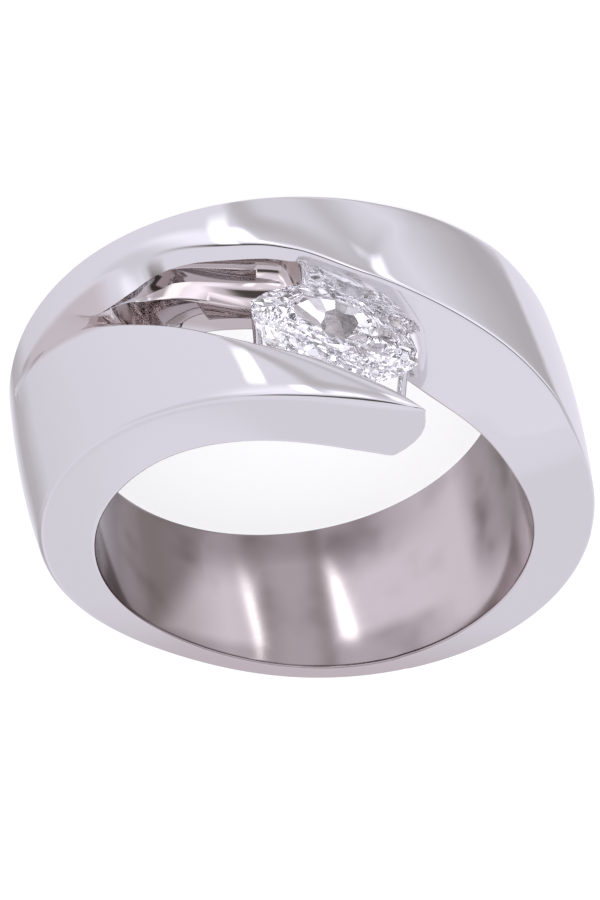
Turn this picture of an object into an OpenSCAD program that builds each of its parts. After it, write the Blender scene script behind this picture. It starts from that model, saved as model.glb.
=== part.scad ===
/* [Finger hole] */
// Diameter of the hole for the finger
bore_d = 17.2; // [16.8:0.1:17.6]

/* [Band] */
// Scale of the band's width along the finger, 1 as built
width_scale = 1; // [0.95:0.01:1.05]
// Bevel along the outer edge of the face that the ring lies on
back_bevel = 0.2; // [0.1:0.05:0.3]
// How far the middle of each arm's top swells above its edges
arm_crown = 0.25; // [0:0.05:0.4]
// Degrees between two sections of the band
section_step = 4; // [3:1:6]

/* [Seat] */
// Thickness of each bar that crosses the slot under the stone, along the band
seat_bar_t = 0.45; // [0.4:0.05:0.5]
// Distance of the seat bars from the middle of the finger hole
seat_bar_r = 9.4; // [9.3:0.05:9.5]
// Clearance between the stone and the metal round it
seat_gap = 0.06; // [0.05:0.01:0.1]

/* [Stone] */
// How far the stone's middle stands towards the slot's closed end
stone_x = 0.2; // [0.15:0.05:0.25]
// Height of the stone's middle above the face that the ring lies on
stone_z = 5.35; // [5.3:0.05:5.4]
// Length of the stone from point to point
stone_l = 6.75; // [6.7:0.05:6.8]
// Width of the stone
stone_w = 4.6; // [4.5:0.05:4.65]
// Distance of the stone's girdle from the middle of the finger hole
stone_r = 10.3; // [10.2:0.05:10.4]
// Height of the crown above the girdle
crown_h = 0.62; // [0.5:0.02:0.7]
// Depth of the pavilion below the girdle
pavilion_h = 1.55; // [1.3:0.05:1.6]
// Thickness of the girdle
girdle_t = 0.1; // [0.06:0.02:0.14]
// Turn of the stone's long axis from the band's own direction
stone_turn = 29.5; // [29:0.5:30]

/* [Hidden] */

bore_r = bore_d / 2;
// The band's sections reach inside the finger hole, which is cut last as a true cylinder.
// The open slot's floor is between the two, so the cut takes it away
inner_r = bore_r - 1.6;
floor_r = bore_r - 0.8;
hole_z = 13;
hole_below = 1;
// Angles run round the finger hole from the stone, counterclockwise seen from above.
// Heights run from the face that the ring lies on. A radius is from the middle of the hole.

// Whole hoop, one row a section: angle, height of the front face, radius of the outside
// at its front, along its middle and at its back
A = 0;
HOOP = [
    [-150, 7.75, 9.55, 9.65, 9.6],
    [-115, 8.1, 10.45, 10.6, 10.6],
    [-80, 8.2, 11.05, 11.25, 11.05],
    [-45, 8.6, 11.4, 11.6, 11.5],
    [-15, 9.9, 11.3, 11.6, 11.95],
    [15, 8.95, 11.3, 11.6, 12.4],
    [45, 7.6, 11.25, 11.7, 12.45],
    [75, 6.9, 11.1, 11.65, 11.9],
    [110, 6.5, 10.65, 10.95, 10.9],
    [150, 6.5, 9.6, 9.8, 9.7],
    [180, 7.1, 9.4, 9.5, 9.4]
];
FRONT_Z = 1;
FRONT_R = 2;
MID_R = 3;
BACK_R = 4;

// Back arm's front face: angle, height at its top edge, height at the finger hole,
// share of the hollow under the top edge
BACK_ARM = [
    [-84, 8.15, 8.2, 0],
    [-72, 8.0, 8.15, 0],
    [-58, 7.75, 8.05, 0],
    [-43, 6.4, 7.35, 0],
    [-24, 4.7, 6.5, 0],
    [-5, 3.1, 5.0, 0],
    [8, 2.1, 4.0, 0],
    [14, 1.75, 3.6, 0.8],
    [25, 1.25, 2.75, 1],
    [38, 0.85, 1.95, 0.9],
    [48, 0.6, 1.3, 0.2],
    [60, 0.45, 0.7, 0],
    [76, 0.4, 0.45, 0]
];
TOP_Z = 1;
BORE_Z = 2;
HOLLOW_SHARE = 3;

// Front arm's wall on the slot: angle, height at its top edge, how much further back it is
// at the finger hole, radius of the slot's floor, which is open where it is inside the hole
FRONT_ARM = [
    [-15, 10.4, 2.2, floor_r],
    [-12.5, 9.85, 2.1, floor_r],
    [-4, 8.65, 1.8, floor_r],
    [6, 7.45, 1.6, floor_r],
    [20, 6.0, 1, floor_r],
    [35, 4.0, 0.5, floor_r],
    [46, 2.75, 0.3, floor_r],
    [53, 1.95, 0.1, 9.4],
    [62, 1.25, 0, 10.9],
    [76, 0.7, 0, 11.7]
];
LEAN = 2;
FLOOR_R = 3;

// Hollow under the back arm's top edge, one row a corner: radius, share of the way from
// the top edge's height to the shelf's height, further depth into the arm
HOLLOW = [
    [10.9, 0, 0],
    [10.6, 0, 0.6],
    [10.1, 0, 0.5],
    [9.6, 0.35, 0],
    [9.35, 1, 0]
];

// Rounded end of the front arm, from the finger hole outwards: radius, angle
TIP = [
    [8.75, -12.4],
    [9.1, -14.1],
    [9.6, -15.1],
    [10.2, -15],
    [10.8, -14.1],
    [11.25, -12.5]
];
tip_angle = -12.5;
edge_r = 11.6;
// Angles of the slot's closed end on the left and of its last section on the right
slot_left = 76;
slot_right = -84;
// Bars under the stone: angle and height on the back arm, angle and height on the front arm
SEAT_BARS = [
    [16.6, 2.3, 18.1, 5.9],
    [-16.8, 5.2, -11.6, 8.7]
];
FROM_Z = 1;
TO_A = 2;
TO_Z = 3;
// Share of arm_crown on the narrower back arm, and at each angle
back_swell = 0.5;
SWELL = [[-84, 0], [-50, 1], [40, 1], [76, 0]];

// Value of a column between two rows, on a cubic that passes through every row
function slope(rows, i, c, round_trip) =
    let(n = len(rows),
        before = i > 0 ? rows[i - 1] : round_trip ? rows[n - 1] : rows[0],
        after = i < n - 1 ? rows[i + 1] : round_trip ? rows[0] : rows[n - 1],
        turn_before = i > 0 || !round_trip ? 0 : -360,
        turn_after = i < n - 1 || !round_trip ? 0 : 360)
    (after[c] - before[c]) / (after[A] + turn_after - before[A] - turn_before);

function column(rows, c, t, round_trip = false) =
    let(last = len(rows) - 1,
        i = max([for (k = [0 : last]) if (k == 0 || rows[k][A] <= t) k]),
        j = i < last ? i + 1 : round_trip ? 0 : last,
        span = i < last ? rows[j][A] - rows[i][A] : rows[0][A] + 360 - rows[last][A],
        s = (t - rows[i][A]) / span,
        m0 = slope(rows, i, c, round_trip) * span,
        m1 = slope(rows, j, c, round_trip) * span)
    i == j ? rows[i][c]
    : (2 * s ^ 3 - 3 * s ^ 2 + 1) * rows[i][c] + (s ^ 3 - 2 * s ^ 2 + s) * m0
      + (3 * s ^ 2 - 2 * s ^ 3) * rows[j][c] + (s ^ 3 - s ^ 2) * m1;

function within(t) = t > 180 ? t - 360 : t;
function hoop(c, t) = column(HOOP, c, within(t) < HOOP[0][A] ? within(t) + 360 : within(t), true);
function back_arm(c, t) = column(BACK_ARM, c, t);
function front_arm(c, t) = column(FRONT_ARM, c, t);

function place(t, p) = [p[0] * sin(t), -p[0] * cos(t), p[1] * width_scale];
function placed(t, section) = [for (p = section) place(t, p)];

// Radius of the outside at an angle and a height, on a parabola through the hoop's three
function outside_r(t, z) =
    let(s = (z - back_bevel) / (hoop(FRONT_Z, t) - back_bevel))
    hoop(BACK_R, t) * (1 - s) * (1 - 2 * s) + hoop(MID_R, t) * 4 * s * (1 - s)
    + hoop(FRONT_R, t) * s * (2 * s - 1);

// Outer surface at an angle from one height to another, with its swell
top_steps = 4;
function top_of(t, from, to, swell = 0) =
    [for (k = [0 : top_steps])
        let(share = k / top_steps,
            z = from + (to - from) * share)
        [outside_r(t, z) + swell * arm_crown * lookup(t, SWELL) * 4 * share * (1 - share), z]];
function back_corner(t) = [[inner_r, 0], [outside_r(t, back_bevel) - back_bevel, 0]];

// Section of the plain shank, which is whole
function shank(t) =
    concat(back_corner(t), top_of(t, back_bevel, hoop(FRONT_Z, t)), [[inner_r, hoop(FRONT_Z, t)]]);

// Front face of the back arm, from its top edge inwards to the finger hole
function back_face(t) =
    let(top = back_arm(TOP_Z, t),
        bore = back_arm(BORE_Z, t))
    [for (h = HOLLOW)
        let(plain = top + (bore - top) * (edge_r - h[0]) / (edge_r - bore_r),
            carved = top + (bore - top) * h[1] - h[2],
            r = slot_r(t, h[0]))
        [r, plain + (carved - plain) * back_arm(HOLLOW_SHARE, t)]];
function back_top(t) = top_of(t, back_bevel, back_arm(TOP_Z, t), back_swell);
function back_arm_section(t) = concat(back_corner(t), back_top(t), back_face(t));
function right_side(t) = concat(back_arm_section(t), [[inner_r, back_arm(BORE_Z, t)]]);

// The slot's floor rises through the surface towards its closed end
function slot_r(t, r) =
    let(floor_at = t < 0 ? floor_r : front_arm(FLOOR_R, t))
    floor_at + (r - floor_r) * (outside_r(t, back_arm(TOP_Z, t)) - floor_at) / (edge_r - floor_r);

// Section of the front arm, from the slot's floor up its wall, over its top and down its face
function arm_wall(t, r) =
    front_arm(TOP_Z, t) - front_arm(LEAN, t) * max(0, min(1, (edge_r - r) / (edge_r - bore_r)));
function front_arm_section(t) =
    concat(
        [[slot_r(t, floor_r), arm_wall(t, bore_r)]],
        [for (row = TIP) [slot_r(t, row[0]), arm_wall(t, row[0])]],
        top_of(t, front_arm(TOP_Z, t), hoop(FRONT_Z, t), 1),
        [for (k = [len(TIP) - 2 : -1 : 0]) [TIP[k][0], hoop(FRONT_Z, t)]],
        [[inner_r, hoop(FRONT_Z, t)]]);
function both_arms(t) =
    concat(back_arm_section(t), [[slot_r(t, floor_r), back_arm(BORE_Z, t)]], front_arm_section(t));

// The same two arms where the front one ends: its corners have angles of their own there
function tip_of(r) = lookup(r, TIP);
function tip_section() =
    concat(
        placed(tip_angle, back_arm_section(tip_angle)),
        [place(tip_angle, [floor_r, back_arm(BORE_Z, tip_angle)])],
        [for (p = front_arm_section(tip_angle)) place(tip_of(p[0]), p)]);
// Section just beyond the tip: the front arm's corners are all inside the finger hole there
function beyond_tip() =
    let(t = tip_angle - 1,
        n = len(front_arm_section(tip_angle)) - 1,
        low = arm_wall(tip_angle, bore_r),
        high = hoop(FRONT_Z, t))
    concat(
        placed(t, back_arm_section(t)),
        [place(t, [floor_r, back_arm(BORE_Z, t)])],
        [for (k = [0 : n])
            place(t, [floor_r + (inner_r - floor_r) * k / n, low + (high - low) * k / n])]);

// Triangles between two rings of corners. Both lists of keys rise, and corners with like
// keys are joined, so the rings may differ in their number of corners
function zip(a, b, i = 0, j = 0) =
    i == len(a) - 1 && j == len(b) - 1 ? []
    : j == len(b) - 1 || (i < len(a) - 1 && a[i + 1] <= b[j + 1])
        ? concat([[[0, i], [0, i + 1], [1, j]]], zip(a, b, i + 1, j))
        : concat([[[0, i], [1, j + 1], [1, j]]], zip(a, b, i, j + 1));
function counted(n) = [for (k = [0 : n]) k];
function starts(rings, i) = i == 0 ? 0 : starts(rings, i - 1) + len(rings[i - 1]);

// Closed solid through a round of rings. Joint i has the keys of ring i and of the next
module round_solid(rings, joints) {
    n = len(rings);
    start = [for (i = [0 : n - 1]) starts(rings, i)];
    faces = [for (i = [0 : n - 1])
        let(own = len(rings[i]),
            next = len(rings[(i + 1) % n]),
            from = start[i],
            to = start[(i + 1) % n])
        each [for (face = zip(joints[i][0], joints[i][1]))
            [for (corner = face)
                corner[0] == 0 ? from + corner[1] % own : to + corner[1] % next]]];
    polyhedron([for (ring = rings) each ring], faces, convexity = 10);
}

module band_form() {
    right_angles = [for (t = [slot_right : section_step : tip_angle - section_step]) t];
    arm_angles = [for (t = [tip_angle + section_step : section_step : slot_left]) t];
    shank_angles = [for (t = [slot_left + section_step : section_step : 360 + slot_right - 1]) t];
    rings = concat(
        [for (t = right_angles) placed(t, right_side(t))],
        [beyond_tip(), tip_section()],
        [for (t = arm_angles) placed(t, both_arms(t))],
        [for (t = shank_angles) placed(t, shank(t))]);

    plain = counted(len(shank(slot_left)));
    side = counted(len(right_side(slot_right)));
    full = counted(len(both_arms(slot_left)));
    // Corners that end the outside: the shank's front edge, the right side's last corner
    // before the finger hole, and the first of the front arm's face
    edge = 2 + top_steps;
    side_end = len(side) - 2;
    face_start = len(full) - len(TIP) - 1;
    plain_to_side = [for (k = plain) k <= edge ? k : k - edge - 1 + side_end];
    side_to_full = [for (k = full) min(k, side_end) + max(0, k - side_end) / len(full)];
    full_to_plain = [for (k = full)
        k <= 2 ? k
        : k < face_start ? 2 + (k - 2) * top_steps / (face_start - 3)
        : edge + (k - face_start + 1) / len(TIP)];
    joints = concat(
        [for (k = [2 : len(right_angles)]) [side, side]],
        [[side, side_to_full]],
        [for (k = [0 : len(arm_angles)]) [full, full]],
        [[full_to_plain, plain]],
        [for (k = [2 : len(shank_angles)]) [plain, plain]],
        [[plain_to_side, side]]);
    round_solid(rings, joints);
}

module stone_place() {
    translate([stone_x, -stone_r, stone_z * width_scale])
        rotate([90, 0, 0])
            rotate([0, 0, -stone_turn])
                children();
}

// Levels of the cut stone, down from its table: shares of its length and width, corners a
// side, share of the crown's height or of the pavilion's depth, and turn as a part of a corner
CUT = [
    [0.62, 0.56, 4, 1, 0],
    [0.84, 0.82, 4, 0.6, 0.5],
    [1, 1, 8, 0, 0],
    [0.62, 0.6, 4, -0.52, 0.5],
    [0.12, 0.02, 4, -1, 0]
];
CUT_W = 1;
CORNERS = 2;
CUT_Z = 3;
TURN = 4;
facet_edge_t = 0.01;

// Pointed oval of two equal arcs, with the given number of corners on each side
function oval(l, w, n, turn) =
    let(r = (l * l + w * w) / (4 * w),
        half = asin(l / 2 / r))
    [for (side = [1, -1]) for (k = [0 : n - 1])
        let(a = -half + 2 * half * (k + turn) / n)
        side * [r * sin(a), r * cos(a) - (r - w / 2)]];

// Brilliant-cut stone: table, crown, girdle and pavilion
module stone_form(grow = 0) {
    l = stone_l + 2 * grow;
    w = stone_w + 2 * grow;
    hull()
        for (level = CUT) {
            above = level[CUT_Z];
            t = above == 0 ? girdle_t + 2 * grow : facet_edge_t;
            z = above * (above > 0 ? crown_h : pavilion_h) + sign(above) * grow;
            translate([0, 0, z - t / 2])
                linear_extrude(t)
                    polygon(oval(l * level[0], w * level[CUT_W], level[CORNERS], level[TURN]));
        }
}

// Bar from one place on the slot's lower side to one on its upper side
module seat_bar(row) {
    from = place(row[A], [seat_bar_r, row[FROM_Z]]);
    to = place(row[TO_A], [seat_bar_r, row[TO_Z]]);
    run = to - from;
    translate(from)
        rotate([0, acos(run[2] / norm(run)), atan2(run[1], run[0])])
            cylinder(h = norm(run), d = seat_bar_t, $fn = 24);
}

module band() {
    color("gainsboro")
        difference() {
            union() {
                band_form();
                for (row = SEAT_BARS)
                    seat_bar(row);
            }
            stone_place() stone_form(seat_gap);
            translate([0, 0, -hole_below])
                cylinder(h = hole_z, r = bore_r, $fn = 96);
        }
}

module stone() {
    color("azure", 0.7)
        stone_place() stone_form();
}

band();
stone();
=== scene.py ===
# %% [markdown]
# A bypass ring with one marquise stone
# Two arms of a wide, polished hoop pass each other at the front and hold a pointed oval stone between
# them. The CAD model gives the frame: the ring lies on its back rim, with +Z along the finger hole
# and the stone towards -Y. A mirror finish would show its facets, so both pieces are modelled again.

# %% Load the frame
import math
from functools import lru_cache

import bmesh
import bpy
import numpy as np
from mathutils import Matrix, Vector
from mathutils.bvhtree import BVHTree


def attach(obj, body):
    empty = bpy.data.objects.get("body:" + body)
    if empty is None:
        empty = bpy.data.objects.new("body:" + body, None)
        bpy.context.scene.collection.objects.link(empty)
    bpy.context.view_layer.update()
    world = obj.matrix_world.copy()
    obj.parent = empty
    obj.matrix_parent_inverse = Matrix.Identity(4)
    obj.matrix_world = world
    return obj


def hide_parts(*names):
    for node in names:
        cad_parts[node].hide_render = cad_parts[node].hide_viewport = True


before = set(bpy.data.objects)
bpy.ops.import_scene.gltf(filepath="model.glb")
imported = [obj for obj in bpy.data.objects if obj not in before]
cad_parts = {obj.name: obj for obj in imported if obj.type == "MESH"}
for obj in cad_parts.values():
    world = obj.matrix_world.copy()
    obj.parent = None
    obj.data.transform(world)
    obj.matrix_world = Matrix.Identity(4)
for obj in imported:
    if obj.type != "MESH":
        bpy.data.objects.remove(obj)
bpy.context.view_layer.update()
MM = 0.001
bpy.ops.object.select_all(action="DESELECT")

# %% [markdown]
# Sizes of the hoop
# A ring is drawn by sections: cuts through the hoop at angles round the finger hole, counted from the
# stone. A few rows of sizes are enough, because a spline runs smoothly through them. They follow the
# CAD source. Where the smooth model can show more, as in the slot's hollow, there are some more.

# %% Tables of the hoop's sections, in millimetres and degrees
# radius of the finger hole, and the radius at the slot's edge for which the tables are made
BORE_R, EDGE_R = 8.6, 11.6
# angle: height of the front rim, outside radius at the front, at the middle and at the back
HOOP = {
    -150: (7.75, 9.55, 9.65, 9.6), -115: (8.1, 10.45, 10.6, 10.6), -80: (8.2, 11.04, 11.23, 11.04),
    -45: (8.6, 11.4, 11.6, 11.37), -15: (9.88, 11.3, 11.6, 11.85), 15: (8.95, 11.3, 11.6, 12.46),
    45: (7.6, 11.25, 11.7, 12.68), 75: (6.9, 11.07, 11.58, 11.93), 110: (6.5, 10.42, 10.85, 10.85),
    150: (6.5, 9.6, 9.8, 9.7), 180: (7.1, 9.4, 9.5, 9.4)}
# angle: height of the back arm's top edge, height at the finger hole, width of the hollow's lip
BACK_ARM = {
    -84: (8.15, 8.2, 0.4), -72: (8.0, 8.15, 0.4), -58: (7.75, 8.05, 0.4), -43: (6.3, 7.35, 0.4),
    -24: (4.82, 6.4, 0.4), -10: (3.9, 5.05, 0.4), -3: (3.4, 4.45, 0.4), 4: (2.7, 3.85, 0.4),
    10: (2.2, 3.45, 0.3), 15: (1.93, 3.3, 0.36), 20: (1.72, 3.1, 0.4), 27: (1.42, 2.75, 0.42),
    33: (1.25, 2.5, 0.58), 39: (1.16, 2.5, 1.0), 45: (1.12, 2.6, 1.45), 50: (1.11, 2.3, 1.2),
    55: (1.1, 2.0, 0.85), 62: (1.13, 1.7, 0.45), 76: (1.2, 1.3, 0.1)}
# angle: height of the front arm's top edge, how far its wall leans back, depth of the slot's floor
FRONT_ARM = {
    -15: (10.4, 2.2, 4), -12.5: (9.85, 2.1, 4), -4: (8.65, 1.8, 4), 6: (7.45, 1.6, 4),
    20: (5.9, 1, 4), 32: (4.35, 0.6, 4), 38: (3.68, 0.45, 3.8), 45: (2.95, 0.25, 1.2),
    53: (2.3, 0.1, 0.6), 62: (1.82, 0, 0.22), 69: (1.6, 0, 0.06), 76: (1.4, 0, 0)}
# radius, share of the lip, share of the way down to the shelf, further depth, of the hollow
HOLLOW = [
    (11.6, 0, 0, 0), (11.4, 0.5, 0, 0), (11.2, 1, 0, 0), (11.12, 0.5, 0, 0.2), (10.8, 0, 0, 0.45),
    (10.3, 0, 0, 0.5), (10.0, 0, 0, 0.3), (9.85, 0, 0.12, 0), (9.72, 0, 0.4, 0), (9.55, 0, 0.5, 0),
    (9.42, 0, 0.8, 0), (9.25, 0, 0.88, 0), (8.6, 0, 1, 0)]
# where the hollow starts and ends: an angle, and how many degrees it takes to deepen
HOLLOW_ENDS = (5.5, 4), (57, 12)
# The hollow narrows towards the slot's end: these rows of its table move outwards by this share,
# from one angle on and over so many degrees, and then close up
NARROW_ROWS, NARROW_SHARE, NARROWED, CLOSED_UP = range(3, 12), 0.92, (15, 30), (37, 8)
# radius and angle of the front arm's rounded end
TIP = [(8.6, -9.9), (8.85, -11.3), (9.2, -12.6), (9.7, -13.8), (10.2, -14.3), (10.7, -14.1),
       (11.05, -13.6), (11.3, -13.1), (11.6, -12.5)]
TIP_ANGLE, TIP_FADE = -12.5, 6
# where the right arm comes out of the whole hoop, and where the slot gets a floor and ends
ARM_START, OPEN_END, SLOT_END = -84, 38, 76
# where the two grids of the model meet, under the finger, and the angle from section to section
JOINT, STEP = 210, 1.0
# how far each arm's top swells, and between which angles
ARM_CROWN, BACK_SWELL, FRONT_SWELL = 0.25, ((-60, 25), (60, 25)), ((-30, 40), (70, 30))
# the crease of the right arm: its height, its width in degrees, and how far its foot is sunk
RIDGE, RIDGE_WIDTH, RIDGE_SINK, RIDGE_ENDS = 0.16, 7.5, 0.35, ((-78, 16), (-4, 12))
# its steep part: an angle, and a bend by the square of the height
CREASE_AT, CREASE_BEND = -38.3, 0.21
# its long part: least height, then a rise that grows towards the stone, and how softly the two meet
CREASE_LOW, CREASE_RISE, RISE_AT, RISE_OVER, CREASE_SOFT = 0.2, 2, -9, 7, 0.6
# how many millimetres over its long part count as one degree
MM_A_DEGREE = 0.2
print("Sections:", len(HOOP), "of the hoop,", len(BACK_ARM), "and", len(FRONT_ARM), "of the arms")

# %% [markdown]
# Smooth curves through the tables
# A natural cubic spline has no sudden change of curvature, which matters on a mirror finish: the eye
# sees each such change as a kink in a reflection. The hoop's own table runs round in a circle.

# %% Splines and the outside surface
@lru_cache(maxsize=None)
def spline_bends(points):
    """Second derivatives of the natural cubic spline through (angle, value) pairs."""
    x, y = np.array(points, float).T
    n = len(x)
    matrix, right = np.eye(n), np.zeros(n)
    for i in range(1, n - 1):
        before, after = x[i] - x[i - 1], x[i + 1] - x[i]
        matrix[i, i - 1:i + 2] = before, 2 * (before + after), after
        right[i] = 6 * ((y[i + 1] - y[i]) / after - (y[i] - y[i - 1]) / before)
    return x, y, np.linalg.solve(matrix, right)


def spline(points, at):
    x, y, bend = spline_bends(points)
    at = min(max(at, x[0]), x[-1])
    i = min(int(np.searchsorted(x, at, side="right")) - 1, len(x) - 2)
    i = max(i, 0)
    span = x[i + 1] - x[i]
    a, b = (x[i + 1] - at) / span, (at - x[i]) / span
    return a * y[i] + b * y[i + 1] + ((a ** 3 - a) * bend[i] + (b ** 3 - b) * bend[i + 1]) * span ** 2 / 6


def column(table, k, around=False):
    rows = [(angle, values[k]) for angle, values in sorted(table.items())]
    if around:
        rows = [(a - 360, v) for a, v in rows[-4:]] + rows + [(a + 360, v) for a, v in rows[:4]]
    return tuple(rows)


HOOP_COLUMNS = [column(HOOP, k, around=True) for k in range(4)]
BACK_COLUMNS = [column(BACK_ARM, k) for k in range(3)]
FRONT_COLUMNS = [column(FRONT_ARM, k) for k in range(3)]


def hoop(k, t):
    return spline(HOOP_COLUMNS[k], t)


def smooth(x):
    x = min(max(x, 0), 1)
    return x * x * (3 - 2 * x)


def rise_and_fall(t, start, end):
    """1 between two angles and 0 outside. Each end is (angle, degrees that the change takes)."""
    return smooth((t - start[0]) / start[1]) * smooth((end[0] - t) / end[1])


def outside_r(t, z):
    """Radius of the hoop's outside at an angle and a height."""
    s = z / hoop(0, t)
    r = hoop(3, t) * (1 - s) * (1 - 2 * s) + hoop(2, t) * 4 * s * (1 - s) + hoop(1, t) * s * (2 * s - 1)
    fade = rise_and_fall(t, *RIDGE_ENDS)
    if fade == 0:
        return r
    return r + RIDGE * fade * (math.exp(-abs(from_crease(t, z)) / RIDGE_WIDTH) - RIDGE_SINK)


def from_crease(t, z):
    """Degrees from the crease, where the right arm's crown meets the side and the back of the hoop."""
    side = t - CREASE_AT + CREASE_BEND * z * z
    line = CREASE_LOW + CREASE_RISE * math.exp((min(t, RIDGE_ENDS[1][0]) - RISE_AT) / RISE_OVER)
    top = (z - line) / MM_A_DEGREE
    near = min(side, top)
    both = math.exp((near - side) * CREASE_SOFT) + math.exp((near - top) * CREASE_SOFT)
    return near - math.log(both) / CREASE_SOFT


print("Outside radius at the stone: %.2f mm" % outside_r(0, 2))

# %% [markdown]
# One section of each arm
# A section is a list of corners. The back arm's runs from the finger hole along the back rim, over
# the outside to the slot's edge, and down the hollowed wall. The front arm's starts at the slot's
# floor and goes up its wall, over the outside and down the front rim. Where the slot is closed, its
# floor lies above the finger hole and comes up to the surface.

# %% Corners of a section
RIM_STEPS, BACK_STEPS, FACE_STEPS = 4, 12, len(HOLLOW) - 1
OUT_LAST = RIM_STEPS + BACK_STEPS
WALL_STEPS, TOP_STEPS, BORE_STEPS = len(TIP) - 1, 10, 4
WALL_R, TIP_T = zip(*TIP)
# least width of the front arm's top, and the height at which the slot's depth is counted
LEAST_TOP, DEPTH_Z = 0.02, 0.5
# where the corners lie across the front arm's top: close together where it bends most
TOP_SHARES = [0, 0.18, 0.28, 0.36, 0.43, 0.5, 0.57, 0.64, 0.72, 0.8, 1]


def shares(steps):
    return [k / steps for k in range(steps + 1)]


def floor_r(t):
    """Radius of the slot's floor: it is the finger hole's where the slot is open."""
    if t < OPEN_END:
        return BORE_R
    return max(BORE_R, outside_r(t, DEPTH_Z) - max(0, spline(FRONT_COLUMNS[2], t)))


def stretched(t, r, top_z):
    """A radius of the slot's wall, moved up so that the wall starts at the floor."""
    floor, edge = floor_r(t), outside_r(t, top_z)
    return floor + (r - BORE_R) / (EDGE_R - BORE_R) * (edge - floor)


# %% [markdown]
# The back arm's corners
# This arm carries the slot's hollow, which a maker carves after bending the arm. Cuts in a mesh
# leave marks that a mirror finish shows, so the corners are placed on the carved form at once.

# %% Corners of the back arm
def rim_corner(t, share, z=0):
    """A corner of a rim, part of the way from the finger hole to the outside."""
    return BORE_R + (outside_r(t, z) - BORE_R) * share, t, z


def back_arm_corners(t):
    top, bore, lip = (spline(c, t) for c in BACK_COLUMNS)
    hollow = rise_and_fall(t, *HOLLOW_ENDS)
    if t < ARM_START or t > SLOT_END:
        top = bore = hoop(0, t)
        hollow = 0
    rim = [rim_corner(t, s) for s in shares(RIM_STEPS)]
    swell = ARM_CROWN / 2 * rise_and_fall(t, *BACK_SWELL)
    outside = [(outside_r(t, top * s) + swell * 4 * s * (1 - s), t, top * s) for s in shares(BACK_STEPS)]
    face = []
    narrow = NARROW_SHARE * smooth((t - NARROWED[0]) / NARROWED[1])
    closed_up = smooth((t - CLOSED_UP[0]) / CLOSED_UP[1])
    for k, (r, of_lip, share, depth) in enumerate(HOLLOW):
        if k in NARROW_ROWS:
            r += (HOLLOW[NARROW_ROWS[0] - 1][0] - r) * narrow * hollow
            depth *= 1 - narrow
        plain = top + (bore - top) * (EDGE_R - r) / (EDGE_R - BORE_R)
        carved = top + lip * of_lip + (bore - top) * share - depth
        if k in NARROW_ROWS:
            carved += (top + lip - carved) * closed_up
        face.append((stretched(t, r, top), t, plain + (carved - plain) * hollow))
    return rim + outside[1:] + face[1:]


# %% [markdown]
# The front arm's corners
# The front arm lies over the slot and ends in a round tip. The tip could be cut with a cylinder.
# Bending the last rows round keeps them even, so reflections run smoothly right up to it.

# %% Corners of the front arm
def tip_angle(t, r):
    """Near its end the front arm's rows bend, so that the last one has the end's round outline."""
    share = smooth((TIP_ANGLE + TIP_FADE - t) / TIP_FADE)
    return t + (float(np.interp(r, WALL_R, TIP_T)) - TIP_ANGLE) * share


def front_arm_corners(t):
    top, lean = (spline(FRONT_COLUMNS[k], t) for k in (0, 1))
    rim_z = max(hoop(0, t), top + LEAST_TOP)
    wall = []
    for r in WALL_R:
        z = top - max(lean, 0) * (EDGE_R - r) / (EDGE_R - BORE_R)
        wall.append((stretched(t, r, top), tip_angle(t, r), z))
    swell = ARM_CROWN * rise_and_fall(t, *FRONT_SWELL)
    outside = []
    for s in TOP_SHARES:
        z = top + (rim_z - top) * s
        outside.append((outside_r(t, z) + swell * 4 * s * (1 - s), t, z))
    edge = outside[-1][0]
    rim = []
    for r in reversed(WALL_R):
        out = BORE_R + (r - BORE_R) / (EDGE_R - BORE_R) * (edge - BORE_R)
        rim.append((out, tip_angle(t, r), rim_z))
    return wall + outside[1:] + rim[1:]


# %% [markdown]
# Both arms in one section
# On the left both arms lie in one section, and past the slot's end they are one hoop. All sections
# need one number of corners, because only then do they make a grid. So the slot's corners spread out
# over the plain outside there.

# %% Whole sections
def bore_corners(t, from_z, to_z):
    return [(BORE_R, t, from_z + (to_z - from_z) * s) for s in shares(BORE_STEPS)]


def whole_section(t):
    """Both arms, and the finger hole's wall."""
    if t == JOINT:
        outside_steps = BACK_STEPS + FACE_STEPS + 1 + WALL_STEPS + TOP_STEPS
        return joint_section(outside_steps, WALL_STEPS, 2 * BORE_STEPS + 1)
    if t <= SLOT_END:
        back = back_arm_corners(t)
        front = front_arm_corners(t)
    else:
        back, front = closed_section(t)
    top, lean, bore = (spline(c, min(t, SLOT_END)) for c in FRONT_COLUMNS[:2] + BACK_COLUMNS[1:2])
    low, high = sorted((bore, top - max(lean, 0)))
    return back + front + bore_corners(tip_angle(t, BORE_R), front[-1][2], high)[1:] + bore_corners(t, low, 0)


def closed_section(t):
    """Past the slot's end, the slot's corners lie on the outside and spread out evenly over it."""
    back, front = back_arm_corners(SLOT_END), front_arm_corners(SLOT_END)
    first_out, last_out = RIM_STEPS, len(back) + WALL_STEPS + TOP_STEPS
    corners = back + front
    even = smooth((t - SLOT_END) / (JOINT - SLOT_END))
    rim_z, end_z = hoop(0, t), corners[last_out][2]
    result = []
    for k, (r, _, z) in enumerate(corners):
        if k < first_out:
            result.append(rim_corner(t, k / first_out))
        elif k <= last_out:
            share = (k - first_out) / (last_out - first_out)
            z = rim_z * ((1 - even) * z / end_z + even * share)
            result.append((outside_r(t, z), t, z))
        else:
            result.append(rim_corner(t, (len(corners) - 1 - k) / (len(corners) - 1 - last_out), rim_z))
    return result[:len(back)], result[len(back):]


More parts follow.
